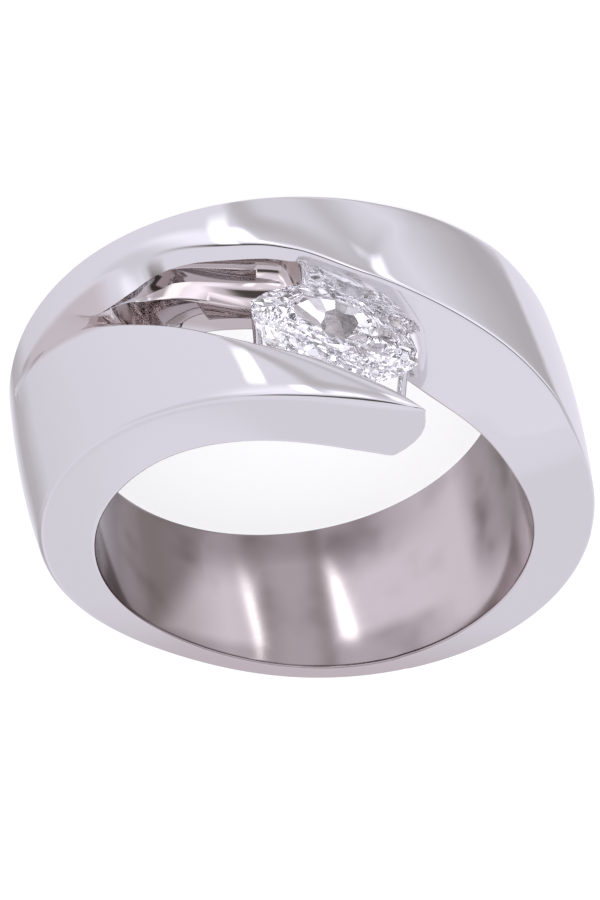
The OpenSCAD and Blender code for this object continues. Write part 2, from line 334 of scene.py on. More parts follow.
def joint_section(outside_steps, rim_steps, bore_steps):
    """Under the finger, where the grids meet, both use one set of corners, some of them twice."""
    rim_z = hoop(0, JOINT)
    front_r = outside_r(JOINT, rim_z)
    back_rim = [rim_corner(JOINT, s) for s in shares(RIM_STEPS)]
    outside = [(outside_r(JOINT, rim_z * s), JOINT, rim_z * s) for s in shares(BACK_STEPS)]
    front_rim = [(front_r + (BORE_R - front_r) * s, JOINT, rim_z) for s in shares(WALL_STEPS)]
    bore = [(BORE_R, JOINT, rim_z * (1 - s)) for s in shares(BORE_STEPS)]
    section = back_rim
    for steps, corners in ((outside_steps, outside), (rim_steps, front_rim), (bore_steps, bore)):
        section += [corners[round(k * (len(corners) - 1) / steps)] for k in range(1, steps + 1)]
    return section


def right_section(t):
    """The right side, where there is only the back arm."""
    if t == JOINT - 360:
        return joint_section(BACK_STEPS, FACE_STEPS, BORE_STEPS)
    back = back_arm_corners(t)
    return back + bore_corners(t, back[-1][2], 0)[1:]


# %% [markdown]
# Soft edges
# No polished edge is quite sharp, and its thin round catches a bright or a dark line. A corner on an
# edge is replaced by a short curve between its two sides. At the finger hole a corner has two
# copies, one in the arm and one in the hole's wall, and each gets half the curve.

# %% Round the corners of a section
CURVE_STEPS = 4
# how far each round reaches from its corner, and how near two corners are one
TOP_EDGE, RIM_EDGE, BACK_EDGE, HOLE_EDGE, SLOT_EDGE = 0.15, 0.3, 0.2, 0.2, 0.08
ONE_PLACE = 1e-6
# the most that a round may take of the side next to it
MOST_OF_SIDE = 0.9
# how many degrees the slot's edges take to run out, and where the right arm's edges turn into rims
EDGES_RUN_OUT, ARM_EDGES = 16, (-70, 20)
# numbers of the corners that lie on edges
BACK_LAST = OUT_LAST + FACE_STEPS
WALL_FIRST = BACK_LAST + 1
WALL_LAST = WALL_FIRST + WALL_STEPS
RIM_FIRST = WALL_LAST + TOP_STEPS
RIM_LAST = RIM_FIRST + WALL_STEPS
HOLE_TOP = RIM_LAST + BORE_STEPS
WHOLE_LAST = HOLE_TOP + BORE_STEPS + 1
RIGHT_LAST = BACK_LAST + BORE_STEPS
# corner, its other copy, reach of the round
WHOLE_EDGES = [
    (WHOLE_LAST, 0, HOLE_EDGE), (RIM_STEPS, RIM_STEPS, BACK_EDGE), (OUT_LAST, OUT_LAST, TOP_EDGE),
    (BACK_LAST, HOLE_TOP + 1, SLOT_EDGE), (HOLE_TOP, WALL_FIRST, SLOT_EDGE),
    (WALL_LAST, WALL_LAST, TOP_EDGE), (RIM_FIRST, RIM_FIRST, RIM_EDGE), (RIM_LAST, RIM_LAST, HOLE_EDGE)]


def apart(a, b):
    return math.sqrt((a[0] - b[0]) ** 2 + (math.radians(a[1] - b[1]) * a[0]) ** 2 + (a[2] - b[2]) ** 2)


def part_way(corner, other, width):
    share = min(MOST_OF_SIDE, width / apart(corner, other))
    return [c + (o - c) * share for c, o in zip(corner, other)]


def rounded(section, edges):
    """A section with its corners replaced by curves: one list of places for each old corner."""
    pieces = [[corner] for corner in section]
    count = len(section)
    for corner, copy, width in edges:
        here = section[corner]
        if apart(here, section[copy]) > ONE_PLACE:
            # The slot is closed here, so this corner of the hole's wall is no edge
            for k in (corner, copy):
                pieces[k] = [section[k]] * (CURVE_STEPS // 2 + 1)
            continue
        before, after = corner - 1, (copy + 1) % count
        twins_before, twins_after = [], []
        while apart(section[before], here) < ONE_PLACE:
            twins_before.append(before)
            before -= 1
        while apart(section[after], here) < ONE_PLACE:
            twins_after.append(after)
            after = (after + 1) % count
        start, end = part_way(here, section[before], width), part_way(here, section[after], width)
        curve = [[(1 - s) ** 2 * a + 2 * s * (1 - s) * c + s * s * b
                  for a, c, b in zip(start, here, end)] for s in shares(CURVE_STEPS)]
        for k in twins_before:
            pieces[k] = [start]
        for k in twins_after:
            pieces[k] = [end]
        if copy == corner:
            pieces[corner] = curve
        else:
            pieces[corner], pieces[copy] = curve[:CURVE_STEPS // 2 + 1], curve[CURVE_STEPS // 2:]
    return pieces


def whole_rounded(t):
    # Towards the slot's end, its two upper edges run out into the plain outside
    left = smooth((SLOT_END - t) / EDGES_RUN_OUT)
    edges = [(corner, copy, width * left if corner in (OUT_LAST, WALL_LAST) else width)
             for corner, copy, width in WHOLE_EDGES]
    return rounded(whole_section(t), edges)


def right_rounded(t):
    # The slot's edges turn into the front rim's where the arm comes out of the whole hoop
    share = smooth((ARM_EDGES[0] - t) / ARM_EDGES[1])
    top = TOP_EDGE + (RIM_EDGE - TOP_EDGE) * share
    hole = SLOT_EDGE + (HOLE_EDGE - SLOT_EDGE) * share
    return rounded(right_section(t), [
        (RIGHT_LAST, 0, HOLE_EDGE), (RIM_STEPS, RIM_STEPS, BACK_EDGE), (OUT_LAST, OUT_LAST, top),
        (BACK_LAST, BACK_LAST, hole)])


print("Corners of a section: %d whole, %d on the right" % (len(whole_section(0)), len(right_section(-40))))

# %% [markdown]
# From sections to a surface
# A grid is bent round so that each of its rows becomes one section, and its faces over the open slot
# are deleted. One grid makes both arms and the left side, and another one the right side.

# %% Bend a grid through the sections
def place(r, t, z):
    a = math.radians(t)
    return Vector((r * math.sin(a), -r * math.cos(a), z)) * MM


def primitive(name, add, **options):
    """Adds a primitive with an operator, names it and gives it back."""
    bpy.ops.object.select_all(action="DESELECT")
    add(**options)
    piece = bpy.context.object
    piece.name = piece.data.name = name
    return piece


def bent_grid(name, angles, section):
    """A grid whose rows are the sections at these angles. Also gives where each corner starts."""
    sections = [section(t) for t in angles]
    rows = [[place_of for piece in pieces for place_of in piece] for pieces in sections]
    starts = np.cumsum([0] + [len(piece) for piece in sections[0]])
    across = len(rows[0])
    piece = primitive(name, bpy.ops.mesh.primitive_grid_add, x_subdivisions=across - 1,
                      y_subdivisions=len(rows) - 1, size=2)
    for v in piece.data.vertices:
        column_of = round((v.co.x + 1) / 2 * (across - 1))
        row_of = round((v.co.y + 1) / 2 * (len(rows) - 1))
        v.co = place(*rows[row_of][column_of])
    return piece, across, [int(start) for start in starts]


def activate(piece):
    bpy.ops.object.select_all(action="DESELECT")
    piece.select_set(True)
    bpy.context.view_layer.objects.active = piece


def in_edit_mode(piece, kind, chosen, *steps):
    """Selects corners or faces by number, and runs operators, each given with its options."""
    activate(piece)
    for parts in (piece.data.polygons, piece.data.edges, piece.data.vertices):
        parts.foreach_set("select", [False] * len(parts))
    for k in chosen:
        getattr(piece.data, kind)[k].select = True
    bpy.context.tool_settings.mesh_select_mode = (kind == "vertices", False, kind == "polygons")
    bpy.ops.object.mode_set(mode="EDIT")
    for step, options in steps:
        step(**options)
    bpy.ops.object.mode_set(mode="OBJECT")


def steps_between(start, end):
    count = max(1, round(abs(end - start) / STEP))
    return [start + (end - start) * k / count for k in range(count + 1)]


left_angles = steps_between(TIP_ANGLE, SLOT_END) + steps_between(SLOT_END, JOINT)[1:]
right_angles = steps_between(JOINT - 360, ARM_START) + steps_between(ARM_START, TIP_ANGLE)[1:]
arms, arms_across, starts = bent_grid("band_polished", left_angles, whole_rounded)
right, _, _ = bent_grid("band_right", right_angles, right_rounded)
open_rows = sum(1 for t in left_angles if floor_r(t) == BORE_R) - 1
over_slot = [row * (arms_across - 1) + starts[corner] - 1 for row in range(open_rows)
             for corner in (WALL_FIRST, HOLE_TOP + 1)]
in_edit_mode(arms, "polygons", over_slot, (bpy.ops.mesh.delete, {"type": "FACE"}))
print("Rows over the open slot:", open_rows)

# %% [markdown]
# Closing the shape
# The front arm's end is still open. One large face would close it but shade badly, so each step of
# its wall gets one face with the same step of the rim. Then the two grids are joined and merged.

# %% Close the front arm's end, and join the two grids
# how near two corners must be to be merged, in millimetres, and to be one place at all, in metres
MERGE, SAME_PLACE = 0.0005, 1e-8


def fill(first, last, more=()):
    """Makes one face from the corners of the tip's row, which is the grid's first."""
    in_edit_mode(arms, "vertices", [*range(first, last), *more],
                 (bpy.ops.mesh.remove_doubles, {"threshold": SAME_PLACE}),
                 (bpy.ops.mesh.edge_face_add, {}))


for k in range(1, WALL_STEPS - 1):
    # Each face of the end joins one step of the wall with the same step of the front rim
    fill(starts[WALL_FIRST + k], starts[WALL_FIRST + k + 1] + 1,
         (starts[RIM_LAST - k], starts[RIM_LAST - k - 1]))
fill(starts[WALL_LAST - 1], starts[RIM_FIRST + 1] + 1)
fill(starts[RIM_LAST - 1], starts[HOLE_TOP + 1], range(starts[WALL_FIRST], starts[WALL_FIRST + 1] + 1))

activate(arms)
right.select_set(True)
bpy.ops.object.join()
band = arms
in_edit_mode(band, "vertices", [], (bpy.ops.mesh.select_all, {"action": "SELECT"}),
             (bpy.ops.mesh.remove_doubles, {"threshold": MERGE * MM}),
             (bpy.ops.mesh.normals_make_consistent, {"inside": False}))


def open_edges(piece):
    """Edges that don't have two faces, which a closed mesh has none of, and the volume."""
    shape = bmesh.new()
    shape.from_mesh(piece.data)
    count = sum(1 for edge in shape.edges if len(edge.link_faces) != 2)
    volume = shape.calc_volume(signed=True)
    shape.free()
    return count, round(volume / MM ** 3, 1)


print("Band: open edges and cubic millimetres", open_edges(band))

# %% [markdown]
# Modifiers and shading
# A Bevel modifier rounds the small pieces. Weighted normals keep the large faces flat to the eye, so
# only the rounded edges turn the light.

# %% Modifier helpers
# degrees between faces from which an edge is rounded, and up to which it is shaded smooth
ROUNDED_FROM, SMOOTH_UP_TO = 50, 40
# how much a large face counts for the shading round it: 50 would be as much as a small one
LARGE_FACES = 60


def apply_modifiers(piece):
    activate(piece)
    for modifier in list(piece.modifiers):
        bpy.ops.object.modifier_apply(modifier=modifier.name)


def round_edges(piece, width):
    bevel = piece.modifiers.new("Rounded edges", "BEVEL")
    bevel.width = width * MM
    bevel.segments = 2
    bevel.limit_method = "ANGLE"
    bevel.angle_limit = math.radians(ROUNDED_FROM)
    bevel.use_clamp_overlap = True
    apply_modifiers(piece)


def shade(piece):
    """Smooth shading in which large faces stay flat and only the round edges turn."""
    activate(piece)
    bpy.ops.object.shade_smooth_by_angle(angle=math.radians(SMOOTH_UP_TO))
    weighted = piece.modifiers.new("Flat faces stay flat", "WEIGHTED_NORMAL")
    weighted.mode = "FACE_AREA"
    weighted.weight = LARGE_FACES
    weighted.keep_sharp = True
    apply_modifiers(piece)


# %% [markdown]
# The stone
# A cutter grinds a stone facet by facet, and the Bisect tool does the same here: each cut takes away
# what lies outside one plane. The rough is a thick slice with the outline of a marquise, two equal
# arcs that meet in points. Each facet's plane leans between the outline at one level and a smaller
# one at another, so facets at the long points are flatter than at the sides.

# %% Cut the stone
STONE_L, STONE_W = 6.75, 4.6
STONE_X, STONE_R, STONE_Z, STONE_TURN = 0.2, 10.3, 5.35, 29.5
CROWN_H, PAVILION_H, GIRDLE_T = 0.62, 1.55, 0.1
ARC_R = (STONE_L ** 2 + STONE_W ** 2) / (4 * STONE_W)
ARC_HALF = math.asin(STONE_L / 2 / ARC_R)
ARC_STEPS = 24
# corners nearer than this, in millimetres, are one, and faces nearer than this angle are one facet
STONE_MERGE, ONE_FACET = 0.002, math.radians(0.5)
GIRDLE_TOP, GIRDLE_LOW = GIRDLE_T / 2, -GIRDLE_T / 2
# the directions of a row's facets in one quarter, and the two levels that each of them leans
# between: a height, a share of the length and a share of the width
CROWN = [
    ([0, 52, 90], (GIRDLE_TOP, 1, 1), (CROWN_H, 0.54, 0.5)),
    ([20, 44, 61, 81], (GIRDLE_TOP, 0.995, 0.995), (CROWN_H * 0.6, 0.8, 0.77)),
    ([34, 71], (CROWN_H * 0.62, 0.735, 0.71), (CROWN_H, 0.505, 0.455))]
PAVILION = [
    ([0, 36, 62, 90], (GIRDLE_LOW, 1, 1), (-PAVILION_H * 0.72, 0.4, 0.43)),
    ([14, 29, 43, 55, 68, 83], (GIRDLE_LOW, 0.995, 0.995), (-PAVILION_H * 0.6, 0.49, 0.52)),
    ([18, 50, 76], (-PAVILION_H * 0.6, 0.49, 0.54), (-PAVILION_H, 0.16, 0.05)),
    ([0, 36, 62, 90], (-PAVILION_H * 0.78, 0.34, 0.36), (-PAVILION_H, 0.14, 0.02))]


def reach(angle, share_l, share_w):
    """How far the marquise reaches in a direction, scaled along its length and width."""
    x, y = abs(math.cos(angle)) * share_l, abs(math.sin(angle)) * share_w
    size, from_width = math.hypot(x, y), math.atan2(x, y)
    if from_width > ARC_HALF:
        return size * STONE_L / 2 * math.sin(from_width)
    return size * (ARC_R - (ARC_R - STONE_W / 2) * math.cos(from_width))


def rough_stone():
    rough = primitive("stone_cut", bpy.ops.mesh.primitive_cylinder_add, vertices=2 * ARC_STEPS, radius=1,
                      depth=2)
    for v in rough.data.vertices:
        k = round(math.atan2(v.co.x, v.co.y) / math.tau * 2 * ARC_STEPS) % (2 * ARC_STEPS)
        side, step = (1, k) if k < ARC_STEPS else (-1, k - ARC_STEPS)
        a = -ARC_HALF + 2 * ARC_HALF * step / ARC_STEPS
        x, y = ARC_R * math.sin(a), ARC_R * math.cos(a) - (ARC_R - STONE_W / 2)
        z = CROWN_H if v.co.z > 0 else -PAVILION_H
        v.co = Vector((side * x, side * y, z)) * MM
    return rough


def cut(point, normal):
    bpy.ops.mesh.select_all(action="SELECT")
    bpy.ops.mesh.bisect(plane_co=Vector(point) * MM, plane_no=normal, use_fill=True, clear_outer=True,
                        threshold=SAME_PLACE)


def facet_row(quarter, low, high):
    """Cuts one facet in each direction of a row, all round the stone."""
    for degrees in all_round(quarter):
        a = math.radians(degrees)
        outer, inner = (reach(a, *level[1:]) for level in (low, high))
        rise, run = abs(high[0] - low[0]), outer - inner
        up = 1 if high[0] > low[0] else -1
        cut((math.cos(a) * outer, math.sin(a) * outer, low[0]),
            Vector((math.cos(a) * rise, math.sin(a) * rise, up * run)).normalized())


def all_round(quarter):
    """The directions of one quarter, mirrored into the other three."""
    return sorted({round(d % 360, 3) for q in quarter for d in (q, 180 - q, 180 + q, 360 - q)})


stone = rough_stone()
activate(stone)
bpy.context.tool_settings.mesh_select_mode = (True, False, False)
bpy.ops.object.mode_set(mode="EDIT")
for row in CROWN + PAVILION:
    facet_row(*row)
bpy.ops.mesh.select_all(action="SELECT")
bpy.ops.mesh.remove_doubles(threshold=STONE_MERGE * MM)
bpy.ops.mesh.dissolve_limited(angle_limit=ONE_FACET)
bpy.ops.mesh.select_all(action="SELECT")
bpy.ops.mesh.normals_make_consistent(inside=False)
bpy.ops.object.mode_set(mode="OBJECT")
stone.data.transform(Matrix.Translation(Vector((STONE_X, -STONE_R, STONE_Z)) * MM)
                     @ Matrix.Rotation(math.radians(90), 4, "X")
                     @ Matrix.Rotation(math.radians(-STONE_TURN), 4, "Z"))
print("Stone:", len(stone.data.polygons), "facets,", open_edges(stone))

# %% [markdown]
# The seat bars
# Two short bars are soldered across the slot under the stone and carry it. Each starts as a plain
# cylinder, gets rings along its length, and swells at both ends like a fillet of solder.

# %% Model the seat bars
BAR_R, BAR_D, BAR_ROUND = 9.4, 0.42, 0.04
# thickness of a bar's middle and how much its ends swell, as shares, and where its rings are
BAR_WAIST, BAR_SWELL, BAR_RINGS = 0.86, 0.5, (-0.3, 0.3, 0)
# angle and height where a bar leaves the back arm, and where it meets the front arm
BARS = {"seat_bar_left": (16.6, 2.3, 18.1, 5.9), "seat_bar_right": (-16.8, 5.2, -11.6, 8.7)}


def seat_bar(name, from_t, from_z, to_t, to_z):
    start, end = place(BAR_R, from_t, from_z), place(BAR_R, to_t, to_z)
    run = end - start
    bar = primitive(name, bpy.ops.mesh.primitive_cylinder_add, vertices=24, radius=BAR_D / 2 * MM,
                    depth=run.length)
    for share in BAR_RINGS:
        in_edit_mode(bar, "vertices", [], (bpy.ops.mesh.select_all, {"action": "SELECT"}),
                     (bpy.ops.mesh.bisect, {"plane_co": (0, 0, run.length * share), "plane_no": (0, 0, 1)}))
    for v in bar.data.vertices:
        swell = BAR_WAIST + BAR_SWELL * (2 * v.co.z / run.length) ** 4
        v.co.x *= swell
        v.co.y *= swell
    turn = run.to_track_quat("Z", "Y").to_matrix().to_4x4()
    bar.data.transform(Matrix.Translation((start + end) / 2) @ turn)
    round_edges(bar, BAR_ROUND)
    shade(bar)
    return bar


bars = [seat_bar(name, *ends) for name, ends in BARS.items()]
print("Seat bars:", [open_edges(bar) for bar in bars])

# %% [markdown]
# The stone's seat
# The setter cuts a notch in the metal in which the stone's edge rests. A copy of the stone, a little
# larger, cuts it here with a Boolean modifier.

# %% Cut the seat
# how much larger the copy is all round, in millimetres
SEAT_GAP = 0.012
seat_tool = stone.copy()
seat_tool.data = stone.data.copy()
bpy.context.collection.objects.link(seat_tool)
middle = Vector((STONE_X, -STONE_R, STONE_Z)) * MM
for v in seat_tool.data.vertices:
    v.co += (v.co - middle).normalized() * SEAT_GAP * MM
seat = band.modifiers.new("Seat", "BOOLEAN")
seat.operation = "DIFFERENCE"
seat.solver = "EXACT"
seat.object = seat_tool
apply_modifiers(band)
bpy.data.objects.remove(seat_tool)
shade(band)
print("Band after the seat:", open_edges(band), len(band.data.polygons), "faces")

# %% [markdown]
# Materials
# White gold is a metal, so its colour is the colour of its reflections: a cool, slightly violet
# white. The outside is buffed to a mirror. The inside is only wiped over with a mop, so it is duller,
# with fine marks. Its cloudy darker patches are painted shade and painted dark reflections. That takes many
# small nodes, and these helpers add them.

# %% Node helpers
class Wiring:
    """Adds nodes to one tree. A value is a number, a colour or another node's output."""

    def __init__(self, tree):
        self.nodes, self.links = tree.nodes, tree.links

    def put(self, socket, value):
        if isinstance(value, bpy.types.NodeSocket):
            self.links.new(value, socket)
        elif value is not None:
            socket.default_value = value

    def node(self, kind, first=None):
        node = self.nodes.new(kind)
        if first is not None:
            self.put(node.inputs[0], first)
        return node

    def maths(self, operation, first, second=None, clamp=False):
        node = self.node("ShaderNodeMath", first)
        node.operation = operation
        node.use_clamp = clamp
        self.put(node.inputs[1], second)
        return node.outputs[0]

    def product(self, first, *others):
        for other in others:
            first = self.maths("MULTIPLY", first, other)
        return first

    def step(self, value, start, end, low=0, high=1):
        """A soft step from low to high, while the value goes from start to end."""
        node = self.node("ShaderNodeMapRange", value)
        node.interpolation_type = "SMOOTHSTEP"
        for socket, number in zip(list(node.inputs)[1:5], (start, end, low, high)):
            self.put(socket, number)
        return node.outputs[0]

    def blend(self, share, first, second):
        node = self.node("ShaderNodeMix")
        node.data_type = "RGBA"
        node.clamp_factor = True
        for name, value in (("Factor", share), ("A", first), ("B", second)):
            self.put(node.inputs[name], value)
        return node.outputs["Result"]

    def noise(self, at, scale, detail):
        node = self.node("ShaderNodeTexNoise")
        for name, value in (("Vector", at), ("Scale", scale), ("Detail", detail)):
            self.put(node.inputs[name], value)
        return node.outputs["Fac"]


def new_material(name, values):
    """A material whose shader has these values, with the wiring of its tree and the shader."""
    material = bpy.data.materials.new(name)
    material.use_nodes = True
    shader = material.node_tree.nodes["Principled BSDF"]
    for socket, value in values.items():
        shader.inputs[socket].default_value = value
    return material, Wiring(material.node_tree), shader


# %% [markdown]
# Where the hoop is dull, and where shade is painted on it
# The inside of the hoop gets darker patches of painted shade and painted dark reflections, and the slot's
# hollow, its shallow end and the front rim at the back get a greyer painted shade than the rest. Patches
# could be painted on the mesh. Finding them by their
# place needs no unwrapping: each patch is a product of soft steps in the angle, height or radius.

# %% Places of the patches of painted shade
# What is measured, where the patch starts, and where it is full. Lengths are in millimetres. Angles
# are in radians, 0 at the back of the hoop and growing towards the slot's closed end.
PATCHES = {
    "left": [("angle leaning", 0.1, 0.32)],
    "far left": [("angle", 0.75, 1.1)],
    "low": [("z", 3.4, 0.8), ("angle", -1.1, -0.3)],
    "middle": [("angle", -0.3, -0.2), ("angle", 0.15, 0.05)],
    "near the rim": [("z", 5.6, 6.4), ("angle", -0.95, -0.55)],
    "right": [("angle", -0.98, -1.2)],
    "under the rim": [("z", 7.6, 5.2)],
    "hollow": [("radius", 11.5, 11.1), ("z", 3.6, 3.2), ("z", 0.1, 0.3), ("x", 0.9, 1.4),
               ("y", -7.4, -7.9)],
    "shallow end": [("z leaning", -4.66, -4.96), ("z", 1.0, 1.35), ("angle", 1.84, 2.0),
                    ("angle", 2.44, 2.34)],
    "rim at the back": [("y", 4, 9), ("z", 6.2, 6.5)]}
# how the left patch leans, in radians a millimetre, and the shallow end, in millimetres a radian
LEFT_LEAN, END_LEAN = 0.078, 3.3
# how dark the painted shade of the patches inside is, against each other
LOW_SHADE, MIDDLE_SHADE, RIGHT_SHADE, FAR_SHADE = 0.95, 0.62, 0.85, 0.42
# how dark all the painted shade patches are, and how much the noise clouds add to them and to the right one
PATCH_SHARE, CLOUD_SHARE, CLOUDS_ON_RIGHT = 0.68, 0.25, 0.3
# how much painted shade outside the shallow end gets, as a share of the hollow's
END_SHARE = 0.9
# scale and detail of the clouds and of the fine marks, and how the marks are drawn out
CLOUDS, CLOUD_RANGE = (330, 2), (0.45, 0.78)
MARKS, MARKS_AROUND, MARKS_ACROSS = (1.6, 5), 2.2, 9
# how far outside the finger hole's radius the metal still counts as inside
HOLE_MARGIN = 0.06
print("Patches:", ", ".join(PATCHES))

# %% [markdown]
# The group of marks and painted shade
# A node group is to a material what a function is to a script. This one gives four values for each
# place: whether it is inside the hoop, its fine marks, its painted shade inside the hoop, and the painted
# shade outside, in the recesses and on the front rim at the back.

# %% Measures and painted shades of the group of marks and shade
def measures(tree, at):
    """The place in millimetres, its radius and its angle round the finger hole, as outputs."""
    in_mm = tree.node("ShaderNodeVectorMath", at)
    in_mm.operation = "SCALE"
    in_mm.inputs["Scale"].default_value = 1 / MM
    x, y, z = tree.node("ShaderNodeSeparateXYZ", in_mm.outputs[0]).outputs
    square = tree.maths("ADD", tree.maths("POWER", x, 2), tree.maths("POWER", y, 2))
    angle = tree.maths("ARCTAN2", x, y)
    return {"x": x, "y": y, "z": z, "angle": angle, "radius": tree.maths("SQRT", square),
            "angle leaning": tree.maths("SUBTRACT", angle, tree.product(z, LEFT_LEAN)),
            "z leaning": tree.maths("SUBTRACT", z, tree.product(angle, END_LEAN))}


def inside_shade(tree, patch, clouds):
    """Painted shade inside the hoop. Of its patches, the darkest counts. The clouds and the far left are
    added to it.
    """
    middle = tree.maths("MAXIMUM", patch["middle"], patch["near the rim"])
    blotches = tree.maths("ADD", tree.product(clouds, CLOUDS_ON_RIGHT), patch["under the rim"])
    dark = patch["left"]
    for other in (tree.product(patch["low"], LOW_SHADE),
                  tree.product(middle, MIDDLE_SHADE),
                  tree.product(patch["right"], blotches, RIGHT_SHADE)):
        dark = tree.maths("MAXIMUM", dark, other)
    cloudy = tree.maths("ADD", tree.product(dark, PATCH_SHARE), tree.product(clouds, CLOUD_SHARE))
    return tree.maths("ADD", cloudy, tree.product(patch["far left"], FAR_SHADE), clamp=True)


# %% Group that finds the inside of the hoop, its marks and the patches of painted shade
# The shade outputs are painted shade and painted dark reflections, inside the hoop and outside it; the marks
# only make the metal rougher
def hoop_marks_and_shade_group():
    group = bpy.data.node_groups.new("Hoop marks and shade", "ShaderNodeTree")
    for name in ("Inside", "Marks", "Shade", "Outside shade"):
        group.interface.new_socket(name, in_out="OUTPUT", socket_type="NodeSocketFloat")
    tree = Wiring(group)
    at = tree.node("ShaderNodeTexCoord").outputs["Object"]
    measured = measures(tree, at)
    patch = {name: tree.product(*[tree.step(measured[of], start, end) for of, start, end in steps])
             for name, steps in PATCHES.items()}
    strokes = tree.node("ShaderNodeCombineXYZ", tree.product(measured["angle"], MARKS_AROUND))
    tree.put(strokes.inputs[1], tree.product(measured["z"], MARKS_ACROSS))
    clouds = tree.step(tree.noise(at, *CLOUDS), *CLOUD_RANGE)
    shallow = tree.product(patch["shallow end"], END_SHARE)
    # painted shade outside: in the slot's hollow and its shallow end, and on the front rim at the back
    recess = tree.maths("MAXIMUM", patch["hollow"], shallow)
    result = tree.node("NodeGroupOutput")
    for name, value in (("Inside", tree.maths("LESS_THAN", measured["radius"], BORE_R + HOLE_MARGIN)),
                        ("Marks", tree.noise(strokes.outputs[0], *MARKS)),
                        ("Shade", inside_shade(tree, patch, clouds)),
                        ("Outside shade", tree.maths("MAXIMUM", recess, patch["rim at the back"]))):
        tree.put(result.inputs[name], value)
    return group


HOOP_MARKS_AND_SHADE = hoop_marks_and_shade_group()
print("Marks and shade group:", len(HOOP_MARKS_AND_SHADE.nodes), "nodes")

# %% [markdown]
# Polished white gold
# One material serves the band and the bars, as one alloy does on the ring. Its colours are what the
# metal gives back: most of the light outside. The darker colours in the recesses, on the front rim at the
# back and inside the hoop, darkest in the patches inside, are painted shade and painted dark reflections.
# Polish is a low roughness, and the fine marks raise it inside the hoop only.

# %% White gold
# the metal's own colour outside, and the painted shade of the recesses and of the front rim at the back
OUTSIDE, OUTSIDE_SHADE = (0.80, 0.79, 0.795, 1), (0.64, 0.575, 0.565, 1)
# painted shade of the whole inside of the hoop, and its darkest painted shade in the patches
HOLE_SHADE, HOLE_DEEP_SHADE = (0.70, 0.635, 0.63, 1), (0.19, 0.155, 0.15, 1)
# roughness of the outside, and what the inside and its marks add to it
POLISH, HOLE_DULL, MARKS_DULL = 0.05, 0.03, 0.08


def white_gold():
    material, tree, shader = new_material("White gold", {"Metallic": 1})
    marks_and_shade = tree.node("ShaderNodeGroup")
    marks_and_shade.node_tree = HOOP_MARKS_AND_SHADE
    # the outside's own colour, with painted shade in the recesses and on the front rim at the back
    outside = tree.blend(marks_and_shade.outputs["Outside shade"], OUTSIDE, OUTSIDE_SHADE)
    # the inside, darker and warmer all over, with darker patches: painted shade and painted dark reflections
    hole = tree.blend(marks_and_shade.outputs["Shade"], HOLE_SHADE, HOLE_DEEP_SHADE)
    tree.put(shader.inputs["Base Color"], tree.blend(marks_and_shade.outputs["Inside"], outside, hole))
    dull = tree.maths("ADD", tree.product(marks_and_shade.outputs["Marks"], MARKS_DULL), HOLE_DULL)
    dull = tree.product(marks_and_shade.outputs["Inside"], dull)
    tree.put(shader.inputs["Roughness"], tree.maths("ADD", dull, POLISH))
    return material


gold = white_gold()
print("White gold:", len(gold.node_tree.nodes), "nodes")

# %% [markdown]
# The clear stone
# A cut stone is clear, hard to scratch and bends light strongly. Real facets with full transmission
# and the right index of refraction give its play of light by themselves, and no texture is needed.

# %% Clear stone
clear, _, _ = new_material("Clear stone", {
    "Base Color": (0.985, 0.99, 1, 1), "Roughness": 0, "IOR": 2.417, "Transmission Weight": 1})
print("Stone's material:", clear.name)

# %% [markdown]
# The pieces get their finishes
# Each piece gets its material and rides on the root body. For the band and the stone, the CAD solid
# that the piece takes the place of is hidden. The bars are part of the CAD band.

# %% Give the pieces their materials
def finish_with(piece, material):
    piece.data.materials.clear()
    piece.data.materials.append(material)
    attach(piece, "root")


for piece in [band] + bars:
    finish_with(piece, gold)
finish_with(stone, clear)
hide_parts("band")
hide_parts("stone")
print("Finished pieces:", [piece.name for piece in [band, stone] + bars])

# %% [markdown]
# The floor
# The ring lies on plain white paper. It glows a little, as paper does in a tent, and it doesn't
# shine. The metal and the stone look through it at the tent, which goes all round the ring.

# %% Floor
FLOOR_GAP = 0.02
floor = primitive("floor", bpy.ops.mesh.primitive_plane_add, size=2, location=(0, 0, -FLOOR_GAP * MM))
paper, _, _ = new_material("White floor", {
    "Base Color": (0.5, 0.5, 0.505, 1), "Roughness": 0.9, "Specular IOR Level": 0,
    "Emission Color": (1, 1, 1, 1), "Emission Strength": 0.72})
floor.visible_glossy = floor.visible_transmission = False
floor.data.materials.append(paper)
print("Floor %.2f mm under the back rim" % FLOOR_GAP)

# %% [markdown]
# The camera
# The photograph shows the ring as worn: X to the right, Y away from the camera, Z up. The camera is
# 51.3 degrees above the finger hole's axis and rolled a little. Seen from the lying ring, it stands
# above the floor and is nearly upside down. Working it out keeps the picture's scale.

# %% Camera at the photograph's angle
CAMERA_TILT, CAMERA_ROLL, CAMERA_AWAY = math.radians(51.3), math.radians(-9.7), 120
# how far the camera stands to the right of the ring's middle and above it, as the picture sees it
CAMERA_RIGHT, CAMERA_UP = -0.10, 0.87
PIXELS_A_MM, IMAGE_W, IMAGE_H = 24.82, 600, 900
FOCAL_PIXELS = PIXELS_A_MM * CAMERA_AWAY
# how far the worn ring is turned round its finger hole, and where its middle is above the back rim
STONE_ANGLE, FRONT_AWAY = math.radians(167.5), 3.6


def lying(v, is_place=True):
    """A place or a direction of the worn ring, in the frame of the ring as it lies."""
    s, c = math.sin(STONE_ANGLE), math.cos(STONE_ANGLE)
    return Vector((c * v.x + s * v.z, -s * v.x + c * v.z, (FRONT_AWAY if is_place else 0) - v.y))


